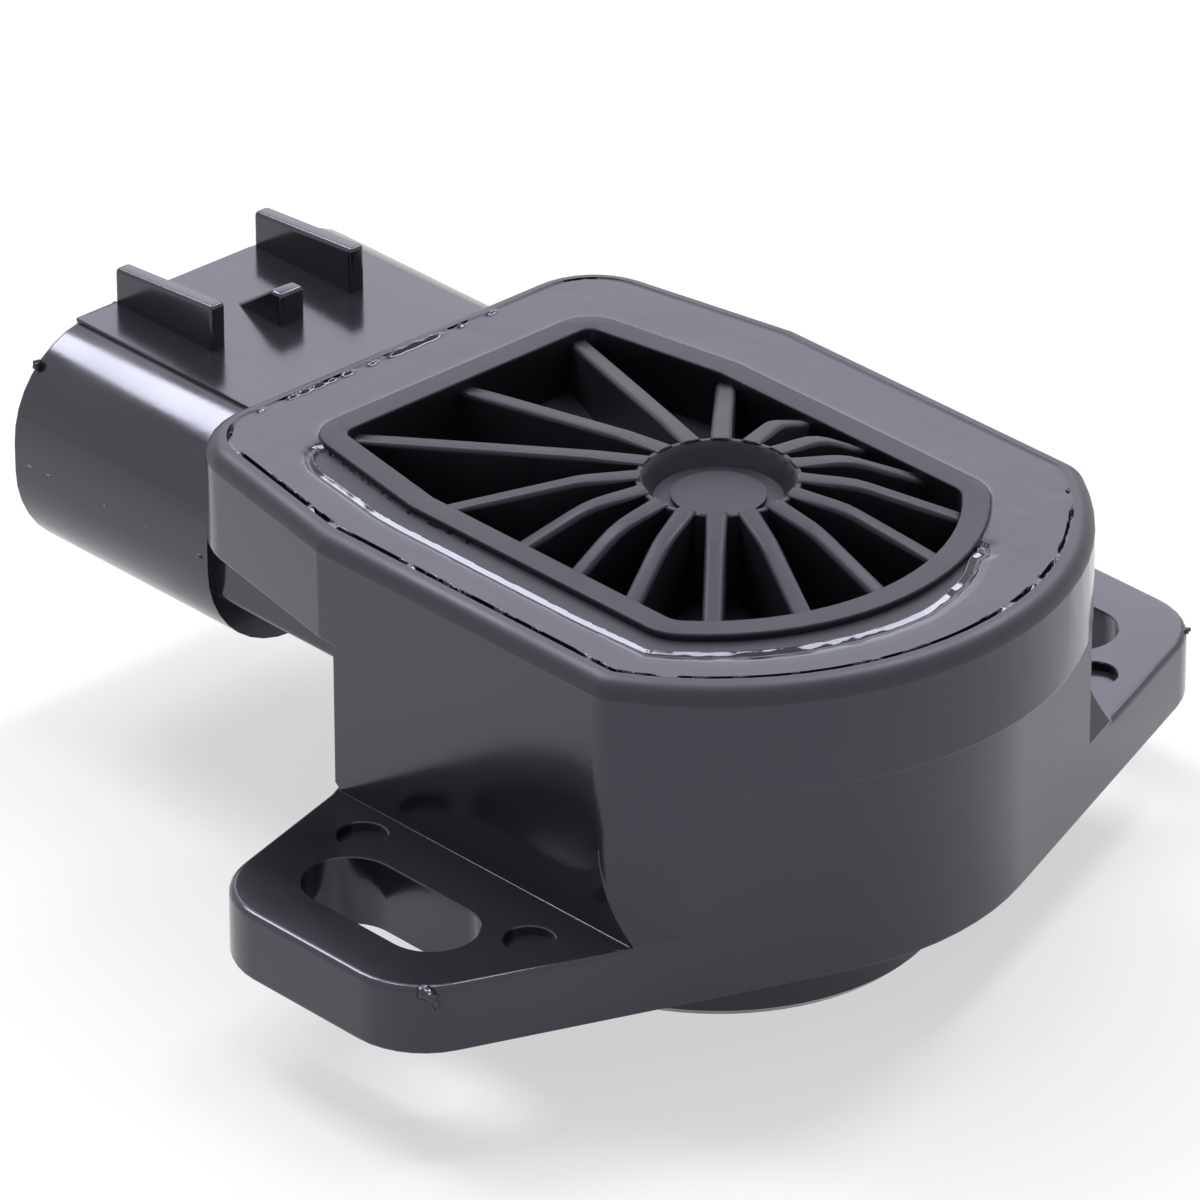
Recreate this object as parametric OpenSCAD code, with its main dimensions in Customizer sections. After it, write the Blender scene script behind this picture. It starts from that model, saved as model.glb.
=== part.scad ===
// Throttle position sensor: a rotary potentiometer in a moulded housing, closed by a
// ribbed cover that is potted in, with a four-way connector and two slotted ears.
// Origin on the rotor axis at the mounting face, +X to the round front, +Z up.

/* [Flange] */
// Distance between the centres of the two mounting slots
slot_spacing = 50; // [47:0.5:54]
// Width of a mounting slot, clear of an M5 screw
slot_w = 5.4; // [4.4:0.1:6.2]
// Overall length of a mounting slot
slot_l = 12.2; // [9:0.1:13]
// Thickness of the mounting ears
ear_t = 4.3; // [3.4:0.1:5.5]
// Distance from a slot's centre to the ear's outer end
ear_margin = 6.4; // [5.6:0.1:7.5]
// Distance between the centres of an ear's two rounded corners
ear_flat = 8.8; // [8:0.1:9.6]
// Corner radius of an ear
ear_r = 5; // [4.2:0.1:5.6]
// Radius of the concave flare between an ear's front edge and the body
flare_r = 6; // [4:0.1:7]
// How far the flare comes in from the ear's front edge as it rises
flare_run = 2.65; // [2:0.05:3.2]
// Radius of the round ejector recesses beside each slot
eject_r = 1.45; // [1:0.05:1.6]
// Depth of the ejector recesses
eject_depth = 0.5; // [0.2:0.1:1]
// Distance of the front ejector recesses from the ear's middle line
eject_front_x = 8.1; // [7.7:0.1:8.5]
// Distance of the front recesses from the slot's middle, toward the body
eject_front_in = 3; // [2.7:0.1:3.3]
// Distance of the back ejector recesses from the ear's middle line
eject_back_x = 6.8; // [6.5:0.1:7.5]
// Distance of the back recesses from the slot's middle, toward the body
eject_back_in = 4; // [3.7:0.1:4.2]

/* [Body] */
// Front radius of the lower body
body_front_r = 18.8; // [17.5:0.1:19.5]
// Back radius of the lower body
body_back_r = 16.3; // [15.6:0.1:17]
// Height of the upper box's underside above the mounting face
box_z = 13.4; // [13:0.1:14.5]
// Width of the upper box
box_w = 37.2; // [36.6:0.1:38.4]
// Distance from the rotor axis to the upper box's back wall
box_back = 27.8; // [27.2:0.05:28.4]
// Distance from the rotor axis to where the upper box's sides start to taper
box_taper = 13; // [12:0.05:14]
// How far each side has come in at the back wall
box_tuck = 2.8; // [2.4:0.1:3.2]
// How much larger than half the box's width the radius of its round front is
box_bulge = 2.8; // [2.4:0.1:3.4]
// Centre of the round front, ahead of the rotor axis
box_front_x = -0.4; // [-0.8:0.1:0.2]
// Height of the upper box's wall above its underside
box_h = 6.7; // [6.5:0.05:7.3]
// Radius of the box's back corners
box_corner_r = 5; // [4.4:0.1:5.6]
// Radius of the corners where the box's sides start to taper
box_side_r = 1; // [0.5:0.1:1.5]
// Radius of the box's front corners
box_front_corner_r = 2.4; // [1.4:0.1:3]
// Thickness of the upper box's floor
box_floor_t = 1.6; // [1.2:0.1:2]

/* [Cover and potting] */
// Thickness of the housing's rim round the potting channel
rim_t = 1.2; // [0.9:0.05:1.5]
// Width of the potting channel between the rim and the cover
potting_w = 2.1; // [1.6:0.1:2.3]
// Depth of the potting's top below the rim
potting_drop = 0.05; // [0.02:0.01:0.1]
// Depth of the cover's flooded frame below the rim
cover_drop = 0.25; // [0.15:0.01:0.35]
// Height of the raised lip round the cover's opening, above the frame
lip_h = 0.42; // [0.3:0.02:0.6]
// Width of the raised lip
lip_w = 1.65; // [1.4:0.05:1.8]
// Distance from the box's outline to the bare stretch that the potting leaves
bare_inset = 3.9; // [3.7:0.05:4.4]
// Distance from the rotor axis to the back end of the bare stretch
bare_back = 21; // [19:0.1:22]
// Height of the cover's outer edge
cover_edge_h = 2.45; // [1.8:0.05:2.6]
// Width of the ledge that carries the cover's edge
ledge_w = 0.9; // [0.7:0.05:1.1]
// Thickness of the cover's frame plate
frame_t = 1.25; // [0.9:0.05:1.5]
// Thickness of the cover's walls and floor
cover_wall = 0.8; // [0.6:0.05:0.9]
// Distance from the box's side to the cover's opening
frame_side = 7.52; // [7.2:0.02:8]
// Distance from the box's back wall to the opening
frame_back = 6.9; // [6.5:0.1:7.3]
// How much smaller the opening's front radius is than the box's
frame_front = 6.92; // [6.6:0.02:7.4]
// How far behind the box's front centre the opening's front centre lies
opening_shift = 0.83; // [0.6:0.01:1.1]
// How far each side of the opening has come in at its back
opening_tuck = 1.58; // [1.2:0.02:2]
// How far ahead of the box's taper the opening starts to taper
opening_lead = 1.44; // [0.8:0.02:2]
// Radius of the opening's back corners
opening_corner_r = 0.8; // [0.5:0.1:1.2]
// Radius of the opening's front corners
opening_front_corner_r = 1.5; // [1.2:0.1:2]
// Number of radial ribs
ribs = 16; // [8:1:20]
// Width of a rib
rib_w = 1.2; // [0.8:0.05:1.5]
// Depth of the ribs' outer ends below the lip
rib_end_drop = 0.7; // [0.3:0.05:1.2]
// Radius of the ridge where the ribs level out
ridge_r = 7.74; // [6.5:0.02:8.5]
// Height of the ridge above the lip
ridge_rise = 1.53; // [0.8:0.01:2]
// Bend radius of the ribs' tops over the ridge
rib_bend_r = 6; // [4:0.5:8]
// Radius of the cover's hub
hub_r = 4.71; // [4.4:0.01:5.2]
// Height of the ribs' inner ends above the lip
hub_rise = 1.86; // [1.6:0.01:2.4]
// How far the ribs' inner ends stand over the hub's rim, like teeth
tooth_h = 0.15; // [0.05:0.01:0.25]
// Thickness of the hub's rim round its dish
hub_rim_t = 0.35; // [0.25:0.05:0.6]
// Depth of the hub's dish
dish_depth = 1.3; // [0.9:0.05:1.4]
// Radius of the dish's floor
dish_floor_r = 3.7; // [3.4:0.05:4]
// Radius of the raised disc in the dish
dish_disc_r = 2.7; // [2.2:0.05:3]
// Height of the raised disc in the dish
dish_disc_h = 0.25; // [0.15:0.05:0.4]

/* [Connector] */
// Distance from the rotor axis to the connector's open end
conn_end = 45; // [42:0.5:50]
// Outer width of the connector shroud
conn_w = 28; // [27.4:0.1:29]
// Outer height of the connector shroud
conn_h = 14.6; // [14:0.1:15.2]
// Corner radius of the connector shroud
conn_r = 6.3; // [5.5:0.1:6.8]
// Height of the connector's middle above the mounting face
conn_z = 11; // [10.8:0.1:11.4]
// Wall thickness of the connector shroud
conn_wall = 1.8; // [1.4:0.1:2]
// Depth of the connector's socket
socket_depth = 14.5; // [12:0.5:15]
// Half width of the raised flat on the shroud's top
crown_half_w = 9; // [8:0.1:10]
// Height of the raised flat over the shroud's shoulders
crown_h = 0.12; // [0.1:0.01:0.25]
// Width of the neck that joins the shroud to the body
neck_w = 26.6; // [25:0.1:27.2]
// Height of the neck's underside above the mounting face
neck_z = 8; // [7.2:0.1:8.6]
// Corner radius of the neck's underside
neck_r = 0.6; // [0.4:0.1:1]
// Length of the two guide rails
rail_l = 9; // [6:0.1:12]
// Thickness of a guide rail
rail_t = 1.1; // [0.8:0.1:1.5]
// Height of a guide rail
rail_h = 2.15; // [1.5:0.05:2.6]
// Distance between the guide rails' outer faces
rail_span = 11.9; // [10:0.1:13]
// Width of the lock ramp
ramp_w = 1.9; // [1.4:0.1:3]
// Length of the lock ramp
ramp_l = 4; // [3:0.1:5]
// Height of the lock ramp
ramp_h = 2; // [1.4:0.1:2.4]

/* [Terminals] */
// Distance between neighbouring terminals
term_pitch = 5.6; // [5:0.1:6]
// Width of a terminal blade
term_w = 2.8; // [2.3:0.1:3]
// Thickness of a terminal
term_t = 0.8; // [0.6:0.05:1]
// Depth of the blades' tips inside the shroud's end
term_recess = 2.5; // [1.5:0.1:4]
// Length of a terminal's contact pad
pad_l = 3.4; // [3:0.1:3.8]
// Distance from the rotor axis to the far end of the contact pads
pad_back = 21; // [20.6:0.1:21.2]
// Thickness of a contact clip's leaf
clip_t = 0.25; // [0.2:0.05:0.35]

/* [Spigot and rotor] */
// Radius of the locating spigot
spigot_r = 13.1; // [12.7:0.1:13.4]
// Height of the locating spigot
spigot_h = 5.5; // [5:0.1:6.5]
// Chamfer at the spigot's end
spigot_chamfer = 0.5; // [0.3:0.1:0.8]
// Cross-section diameter of the spigot's O-ring
o_ring_d = 1.9; // [1.5:0.1:2]
// Depth of the squeezed O-ring's outside below the spigot's surface
o_ring_inset = 0.05; // [0.03:0.01:0.1]
// Distance from the mounting face to the O-ring's groove
groove_z = 0.7; // [0.5:0.1:0.9]
// Radius of the rotor's journal
journal_r = 7.95; // [7.7:0.05:8.1]
// Depth of the rotor's end inside the spigot's end
rotor_recess = 0.6; // [0.3:0.1:1]
// Wall thickness of the journal sleeve
sleeve_t = 1.3; // [1:0.1:1.5]
// Height of the journal sleeve above the mounting face
sleeve_h = 3.5; // [2.5:0.1:4.5]
// Height of the spring chamber's floor above the mounting face
chamber_z = 0.6; // [0.5:0.1:1.2]
// Inner radius of the spring chamber
chamber_r = 13; // [12.8:0.1:13.2]
// Radius of the rotor's flange
rotor_flange_r = 12.6; // [12.4:0.05:12.7]
// Thickness of the rotor's flange
rotor_flange_t = 1.4; // [1:0.1:1.6]
// Radius of the rotor's upper pivot
pivot_r = 2; // [1.6:0.1:2.4]
// Depth of the pivot's blind bearing in the cover's hub
pivot_depth = 4; // [3:0.1:4.2]
// Radius of the drive socket
socket_r = 4; // [3.4:0.1:4.4]
// Depth of the drive socket
drive_depth = 8.9; // [7:0.1:9.5]
// Width of the drive socket's two keyways
key_w = 2.4; // [2:0.1:2.6]
// Distance from the rotor axis to a keyway's end
key_reach = 6.2; // [5.8:0.1:6.4]
// Thickness of the drive clip's leaf
drive_clip_t = 0.3; // [0.2:0.05:0.4]
// Height of the shaft seal
seal_h = 1.7; // [1.4:0.1:2]
// Outer radius of the shaft seal
seal_r = 10.3; // [10:0.1:10.6]
// Thickness of the rotor's thrust washer
washer_t = 0.4; // [0.3:0.05:0.6]

/* [Return spring and stops] */
// Diameter of the return spring's wire
wire_d = 1; // [0.8:0.05:1.1]
// Mean radius of the return spring's coil
coil_r = 11; // [10.8:0.05:11.1]
// Number of turns in the return spring
coil_turns = 4.5; // [2:0.5:5]
// Length of the spring's lower tangent leg
leg_low = 8.4; // [8:0.1:9]
// Bend radius of the hook at the spring's upper end
hook_bend = 0.7; // [0.6:0.05:0.8]
// Distance from the rotor axis to the hook's tip
hook_end = 12.5; // [12.3:0.05:12.6]
// Travel of the rotor from its closed stop to its open stop
travel = 105; // [90:1:115]
// Width of the rotor's dog, as an angle
dog_a = 8; // [6:1:12]

/* [Contacts and board] */
// Thickness of the track board
board_t = 0.8; // [0.6:0.05:1]
// Radius of the hole in the track board
board_hole_r = 5; // [4:0.1:5.6]
// Thickness of the printed tracks
track_t = 0.1; // [0.05:0.01:0.15]
// Width of a printed track
track_w = 1.2; // [0.8:0.05:1.4]
// Mean radius of the resistor track
resistor_r = 11.5; // [11.3:0.05:11.7]
// Mean radius of the collector ring
collector_r = 9.5; // [9.3:0.05:9.7]
// Mean radius of the idle track
idle_r = 7.5; // [7.3:0.05:7.7]
// Thickness of the brush plates
brush_t = 0.2; // [0.15:0.05:0.3]
// Width of one brush finger
finger_w = 0.3; // [0.2:0.05:0.4]
// Angle of the signal brush at the closed stop
brush_a = 35; // [20:5:50]

/* [Clearances] */
// Radial clearance of the rotor's journal and pivot
run_gap = 0.05; // [0.02:0.01:0.09]
// Clearance between fixed pieces that drop into each other
drop_gap = 0.3; // [0.2:0.05:0.35]
// Clearance between the brush fingers and the tracks
brush_gap = 0.1; // [0.05:0.01:0.2]

/* [Hidden] */

moulded_black = [0.13, 0.13, 0.14];
cover_black = [0.2, 0.2, 0.21];
epoxy_black = [0.3, 0.3, 0.33];

// Heights that follow from the driving sizes
rim_z = box_z + box_h;
board_z = box_z + box_floor_t;
cover_floor_z = board_z + board_t;
potting_z = rim_z - potting_drop;
frame_z = rim_z - cover_drop;
lip_z = frame_z + lip_h;
ledge_z = frame_z - cover_edge_h;
crown_z = conn_z + conn_h / 2;
flange_z = board_z - track_t - rotor_flange_t - 1.9;
flange_top = flange_z + rotor_flange_t;

// Insets of the box's outline
cover_inset = rim_t + potting_w;
cavity_inset = cover_inset + ledge_w;
half_w = box_w / 2;
half_opening = half_w - frame_side;
box_front_r = half_w + box_bulge;
BOX = [box_back, half_w - box_tuck, box_taper, half_w, box_front_r, box_front_x,
    box_corner_r, box_side_r, box_front_corner_r];
OPENING = [box_back - frame_back, half_opening - opening_tuck, box_taper - opening_lead,
    half_opening, box_front_r - frame_front, box_front_x - opening_shift,
    opening_corner_r, opening_corner_r, opening_front_corner_r];

// Terminal rows from the near side to the far side
term_y = [for (i = [0 : 3]) (i - 1.5) * term_pitch];
overrun = 1;
fine = 96;
least_r = 0.4;

function unit(a) = [cos(a), sin(a)];
function arc_steps(r, sweep) = max(2, ceil(abs(sweep) / (r > 8 ? 5 : 10)));
function arc(c, r, a0, a1) =
    let (n = arc_steps(r, a1 - a0))
    [for (i = [0 : n]) c + r * unit(a0 + (a1 - a0) * i / n)];
function rest(list) = [for (i = [1 : len(list) - 1]) list[i]];
function mirror_y(pts) = [for (i = [len(pts) - 1 : -1 : 0]) [pts[i][0], -pts[i][1]]];

// A rounded corner at p between two edges whose outward normals are at a0 and a1
function corner(p, r, a0, a1) =
    arc(p - r * (unit(a0) + unit(a1)) / (1 + unit(a0) * unit(a1)), r, a0, a1);

// A rectangle with round corners, centred on the origin
function round_rect(w, h, r) = concat(
    corner([w / 2, -h / 2], r, -90, 0), corner([w / 2, h / 2], r, 0, 90),
    corner([-w / 2, h / 2], r, 90, 180), corner([-w / 2, -h / 2], r, 180, 270));

// The D outline: straight back, tapered sides and a round front, moved in by t.
// s is [back, half back width, taper start, half width, front radius, front centre,
// then the radii of the back, side and front corners].
function taper_a(s) = atan2(s[3] - s[1], s[0] - s[2]);
function d_outline(s, t) =
    let (a = taper_a(s),
        reach = s[0] * sin(a) + s[1] * cos(a) - t,
        back = [t - s[0], (reach - (s[0] - t) * sin(a)) / cos(a)],
        side = [((s[3] - t) * cos(a) - reach) / sin(a), s[3] - t],
        rb = max(s[6] - t, least_r),
        rs = max(s[7] - t, least_r),
        rf = max(s[8] - t, least_r),
        c = [s[5] + sqrt(pow(s[4] - t - rf, 2) - pow(s[3] - t - rf, 2)), s[3] - t - rf],
        af = atan2(c[1], c[0] - s[5]),
        half = concat(rest(arc(c, rf, af, 90)), corner(side, rs, 90, 90 + a),
            corner(back, rb, 90 + a, 180)))
    concat(arc([s[5], 0], s[4] - t, -af, af), half, mirror_y(half));

// Distance from the rotor axis to the D outline's edge in the direction a
function d_reach(s, a) =
    let (u = unit(a), v = [u[0], abs(u[1])], ta = taper_a(s),
        n = [-sin(ta), cos(ta)], b = s[5] * v[0], far = s[0] + s[3],
        front = v[0] > 0 ? b + sqrt(b * b + s[4] * s[4] - s[5] * s[5]) : far,
        back = v[0] < -0.001 ? -s[0] / v[0] : far,
        side = v[1] > 0.001 ? s[3] / v[1] : far,
        taper = n * v > 0.001 ? (n * [-s[0], s[1]]) / (n * v) : far)
    min(front, back, side, taper);

// The flange's outline: two arcs about the rotor axis and two ears, all tangent
ear_x = ear_flat / 2;
ear_y = slot_spacing / 2 + ear_margin - ear_r;
function ear_tangent(r) = atan2(ear_y, ear_x) - acos((r - ear_r) / norm([ear_x, ear_y]));
front_a = ear_tangent(body_front_r);
back_a = ear_tangent(body_back_r);
ears = concat(arc([ear_x, ear_y], ear_r, front_a, 90),
    arc([-ear_x, ear_y], ear_r, 90, 180 - back_a));
flange_outline = concat(arc([0, 0], body_front_r, -front_a, front_a), ears,
    arc([0, 0], body_back_r, 180 - back_a, 180 + back_a), mirror_y(ears));

function slot_outline(l, w) = concat(arc([(l - w) / 2, 0], w / 2, -90, 90),
    arc([(w - l) / 2, 0], w / 2, 90, 270));
function sector(r0, r1, a0, a1) = concat(arc([0, 0], r1, a0, a1), arc([0, 0], r0, a1, a0));

module slab(z0, z1) {
    translate([0, 0, z0]) linear_extrude(z1 - z0) children();
}

// A profile in the Y-Z plane, drawn as [y, z] and extruded from x0 to x1
module along_x(x0, x1) {
    translate([x0, 0, 0]) rotate([90, 0, 90]) linear_extrude(x1 - x0) children();
}

// A profile in the X-Z plane, drawn as [x, z] and extruded over a width about y
module across_y(y, w) {
    translate([0, y + w / 2, 0]) rotate([90, 0, 0]) linear_extrude(w) children();
}

// Return spring: a coil whose lower leg lies in a pocket in the chamber's wall and
// whose upper end is hooked outward in front of the rotor's dog
coil_low = chamber_z + wire_d / 2 + 0.3;
coil_high = flange_z - wire_d / 2 - 0.4;
leg_turn = 360 * coil_turns;
dog_low = 2.2;
closed_a = 200;
hook_gap = 0.06;
leg_a = closed_a + dog_a / 2 - asin((hook_bend - wire_d / 2 - hook_gap) / coil_r);
coil_step = 18;
function coil_point(a) = [coil_r * cos(a), coil_r * sin(a),
    coil_high + (coil_low - coil_high) * (leg_a - a) / leg_turn];
function coil_tangent(a) = [-sin(a), cos(a), 0];
function hook_point(out, along) = coil_point(leg_a)
    + out * [cos(leg_a), sin(leg_a), 0] + along * coil_tangent(leg_a);
spring_path = concat(
    [coil_point(leg_a - leg_turn) - leg_low * coil_tangent(leg_a - leg_turn)],
    [for (a = [leg_a - leg_turn : coil_step : leg_a]) coil_point(a)],
    [for (b = [30 : 30 : 90]) hook_point(hook_bend * (1 - cos(b)), hook_bend * sin(b))],
    [hook_point(hook_end - coil_r, hook_bend)]);
wire_sides = 8;
function heading(p, i) =
    let (d = p[min(i + 1, len(p) - 1)] - p[max(i - 1, 0)]) d / norm(d);
function wire_ring(p, i, r) =
    let (t = heading(p, i), s = cross(t, [0, 0, 1]), side = s / norm(s), up = cross(side, t))
    [for (k = [0 : wire_sides - 1])
        p[i] + r * (cos(360 * k / wire_sides) * side + sin(360 * k / wire_sides) * up)];

module wire(path, r) {
    n = wire_sides;
    last = (len(path) - 1) * n;
    points = [for (i = [0 : len(path) - 1], q = wire_ring(path, i, r)) q];
    polyhedron(points, concat(
        [[for (k = [0 : n - 1]) k]],
        [for (i = [0 : len(path) - 2], k = [0 : n - 1])
            [i * n + k, (i + 1) * n + k, (i + 1) * n + (k + 1) % n, i * n + (k + 1) % n]],
        [[for (k = [n - 1 : -1 : 0]) last + k]]), convexity = 10);
}

// One terminal: a blade in the socket, a riser in the neck and a pad under the clip
pad_z = box_z - term_t;
module terminal(y) {
    tip = term_recess - conn_end;
    across_y(y, term_w) polygon([
        [tip, conn_z - term_t / 4], [tip + term_t, conn_z - term_t / 2],
        [term_t - pad_back, conn_z - term_t / 2], [term_t - pad_back, pad_z],
        [pad_l - pad_back, pad_z], [pad_l - pad_back, pad_z + term_t],
        [-pad_back, pad_z + term_t], [-pad_back, conn_z + term_t / 2],
        [tip + term_t, conn_z + term_t / 2], [tip, conn_z + term_t / 4]]);
}

// One clip: a folded leaf that presses a terminal's pad against the board
clip_w = term_w - 0.4;
clip_back = pad_back - 0.2;
clip_l = pad_l - 0.4;
module contact_clip(y) {
    z0 = pad_z + term_t;
    x0 = -clip_back;
    x1 = clip_l - clip_back;
    across_y(y, clip_w) polygon([
        [x0, z0], [x1, z0], [x1, board_z], [x0 + 1, board_z],
        [x0 + 1, board_z - clip_t], [x1 - clip_t, board_z - clip_t],
        [x1 - clip_t, z0 + clip_t], [x0, z0 + clip_t]]);
}

module clip_pocket(y) {
    w = term_w + 0.6;
    translate([-pad_back - 0.2, y - w / 2, pad_z + term_t])
        cube([pad_l + 0.4, w, box_floor_t + overrun]);
}

// Housing: one moulding with the flange, body, box, connector and spigot
module spigot() {
    groove_h = o_ring_d + 0.3;
    groove_r = spigot_r - o_ring_inset - o_ring_d;
    rotate_extrude($fn = fine) polygon([
        [0, overrun], [spigot_r, overrun], [spigot_r, -groove_z], [groove_r, -groove_z],
        [groove_r, -groove_z - groove_h], [spigot_r, -groove_z - groove_h],
        [spigot_r, spigot_chamfer - spigot_h], [spigot_r - spigot_chamfer, -spigot_h],
        [0, -spigot_h]]);
}

// The part of the body in front of each ear, hollowed down to the ear's front edge
flare_foot = 0.12;
module ear_flares() {
    axis_x = body_front_r + flare_r - flare_run;
    axis_z = ear_t + flare_foot + sqrt(pow(flare_r, 2) - pow(flare_r - flare_run, 2));
    for (s = [-1, 1]) difference() {
        intersection() {
            slab(0, axis_z) polygon(flange_outline);
            translate([0, (s - 1) * half_w / 2, 0]) cube([box_front_r, half_w, box_z]);
        }
        rotate([0, 0, s * front_a]) translate([axis_x, box_w, axis_z])
            rotate([90, 0, 0]) cylinder(r = flare_r, h = 2 * box_w, $fn = fine);
    }
}

// The shroud's section, drawn as [y, z]
module shroud_section() {
    translate([0, conn_z]) polygon(round_rect(conn_w, conn_h - 2 * crown_h, conn_r));
}

// Past the box's back wall only the shroud's upper part runs on, into the box
shroud_lap = 1.2;
module shroud() {
    along_x(-conn_end, -box_back) shroud_section();
    along_x(-box_back - overrun, shroud_lap - box_back) intersection() {
        shroud_section();
        translate([-conn_w / 2, box_z]) square([conn_w, conn_h]);
    }
    along_x(-conn_end, shroud_lap - box_back)
        translate([-crown_half_w, box_z]) square([2 * crown_half_w, crown_z - box_z]);
}

module neck() {
    w = neck_w / 2;
    along_x(-box_back - overrun, overrun - sqrt(pow(body_back_r, 2) - pow(w, 2)))
        polygon(concat(corner([-w, neck_z], neck_r, 180, 270), corner([w, neck_z], neck_r, 270, 360),
            [[w, box_z + overrun], [-w, box_z + overrun]]));
}

module rails() {
    for (s = [-1, 1]) {
        translate([-conn_end, s * (rail_span - rail_t) / 2 - rail_t / 2, crown_z - overrun])
            cube([rail_l, rail_t, rail_h + overrun]);
    }
}

module lock_ramp() {
    x1 = rail_l - conn_end;
    across_y(0, ramp_w) polygon([
        [x1 - ramp_l, crown_z - overrun], [x1, crown_z - overrun], [x1, crown_z + ramp_h],
        [x1 - ramp_l / 4, crown_z + ramp_h], [x1 - ramp_l, crown_z]]);
}

module stops() {
    w = dog_a / 2 + 1.5;
    for (a = [closed_a - w - 8, closed_a + travel + w]) {
        slab(flange_z - dog_low - 0.4, flange_z - 0.4)
            polygon(sector(coil_r + wire_d / 2 + 0.5, chamber_r + 0.4, a, a + 8));
    }
}

module spring_chamber() {
    difference() {
        translate([0, 0, chamber_z])
            cylinder(r = chamber_r, h = board_z - chamber_z + overrun, $fn = fine);
        translate([0, 0, chamber_z - overrun])
            cylinder(r = journal_r + run_gap + sleeve_t, h = sleeve_h - chamber_z + overrun, $fn = fine);
        stops();
    }
}

// The pocket in the chamber's wall that holds the spring's lower leg
module leg_pocket() {
    a = leg_a - leg_turn;
    rotate([0, 0, a]) translate([coil_r - wire_d / 2 - 0.2, -leg_low - 0.4, coil_low - wire_d / 2 - 0.2])
        cube([wire_d + 0.4, leg_low, wire_d + 0.8]);
}

module housing() {
    color(moulded_black) difference() {
        union() {
            slab(0, ear_t) polygon(flange_outline);
            slab(0, box_z + overrun / 2) intersection() {
                polygon(flange_outline);
                polygon(d_outline(BOX, 0));
            }
            ear_flares();
            slab(box_z, rim_z) polygon(d_outline(BOX, 0));
            spigot();
            shroud();
            neck();
            rails();
            lock_ramp();
        }
        slab(ledge_z, rim_z + overrun) polygon(d_outline(BOX, rim_t));
        slab(board_z, ledge_z + overrun) polygon(d_outline(BOX, cavity_inset));
        spring_chamber();
        leg_pocket();
        translate([0, 0, -spigot_h - overrun])
            cylinder(r = journal_r + run_gap, h = spigot_h + sleeve_h + 2 * overrun, $fn = fine);
        translate([0, 0, -spigot_h - overrun])
            cylinder(r = seal_r, h = seal_h + 0.3 + overrun, $fn = fine);
        along_x(-conn_end - overrun, socket_depth - conn_end) translate([0, conn_z])
            polygon(round_rect(conn_w - 2 * conn_wall, conn_h - 2 * conn_wall, conn_r - conn_wall));
        for (y = term_y) {
            terminal(y);
            clip_pocket(y);
        }
        for (s = [-1, 1]) {
            translate([0, s * slot_spacing / 2, 0])
                slab(-overrun, ear_t + overrun) polygon(slot_outline(slot_l, slot_w));
            for (e = [[-eject_back_x, eject_back_in], [eject_front_x, eject_front_in]]) {
                translate([e[0], s * (slot_spacing / 2 - e[1]), ear_t - eject_depth])
                    cylinder(r = eject_r, h = eject_depth + overrun, $fn = 48);
            }
        }
    }
}

// Cover: a D frame with a raised lip round an open pocket, and radial ribs that climb
// from the pocket's wall to a dished hub
module rib(a) {
    inner = [hub_r - hub_rim_t, lip_z + hub_rise];
    ridge = [ridge_r, lip_z + ridge_rise];
    end = [d_reach(OPENING, a) + cover_wall / 2, lip_z - rib_end_drop];
    climb = end - ridge;
    run = ridge - inner;
    rotate([0, 0, a]) across_y(0, rib_w) polygon(concat(
        [[inner[0], cover_floor_z], [end[0], cover_floor_z], end],
        corner(ridge, rib_bend_r, atan2(climb[0], -climb[1]), atan2(run[0], -run[1])),
        [inner]));
}

// The hub's dish, with the raised disc left standing on its floor
module dish() {
    rotate_extrude($fn = fine) polygon([
        [0, dish_disc_h], [dish_disc_r, dish_disc_h], [dish_disc_r, 0], [dish_floor_r, 0],
        [hub_r - hub_rim_t, dish_depth], [hub_r - hub_rim_t, dish_depth + overrun],
        [0, dish_depth + overrun]]);
}

module cover() {
    hub_z = lip_z + hub_rise - tooth_h;
    color(cover_black) difference() {
        union() {
            difference() {
                union() {
                    slab(ledge_z, frame_z) polygon(d_outline(BOX, cover_inset));
                    slab(cover_floor_z, lip_z) polygon(d_outline(OPENING, -cover_wall));
                    slab(frame_z - frame_t, lip_z) polygon(d_outline(OPENING, -lip_w));
                }
                slab(cover_floor_z + cover_wall, lip_z + overrun) polygon(d_outline(OPENING, 0));
                slab(ledge_z - overrun, frame_z - frame_t) difference() {
                    polygon(d_outline(BOX, cover_inset + ledge_w + drop_gap));
                    polygon(d_outline(OPENING, -cover_wall));
                }
            }
            for (i = [0 : ribs - 1]) rib(i * 360 / ribs);
            translate([0, 0, cover_floor_z]) cylinder(r = hub_r, h = hub_z - cover_floor_z, $fn = fine);
        }
        translate([0, 0, hub_z - dish_depth]) dish();
        translate([0, 0, cover_floor_z - overrun])
            cylinder(r = pivot_r + run_gap, h = pivot_depth + overrun, $fn = fine);
    }
}

// Potting: fills the channel, floods the cover's frame up to the lip, and leaves a
// stretch of the frame bare along the near side
bare_tip_out = 17.2 * unit(-4);
bare_tip_in = 14.5 * unit(34);
module potting_seal() {
    color(epoxy_black) difference() {
        slab(ledge_z, potting_z) polygon(d_outline(BOX, rim_t));
        slab(ledge_z - overrun, frame_z) polygon(d_outline(BOX, cover_inset));
        slab(frame_z - overrun, potting_z + overrun) union() {
            polygon(d_outline(OPENING, -lip_w));
            intersection() {
                polygon(d_outline(BOX, bare_inset));
                polygon([[-bare_back, 0], [-bare_back, -box_w], [box_w, -box_w],
                    bare_tip_out, bare_tip_in]);
            }
        }
    }
}

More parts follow.
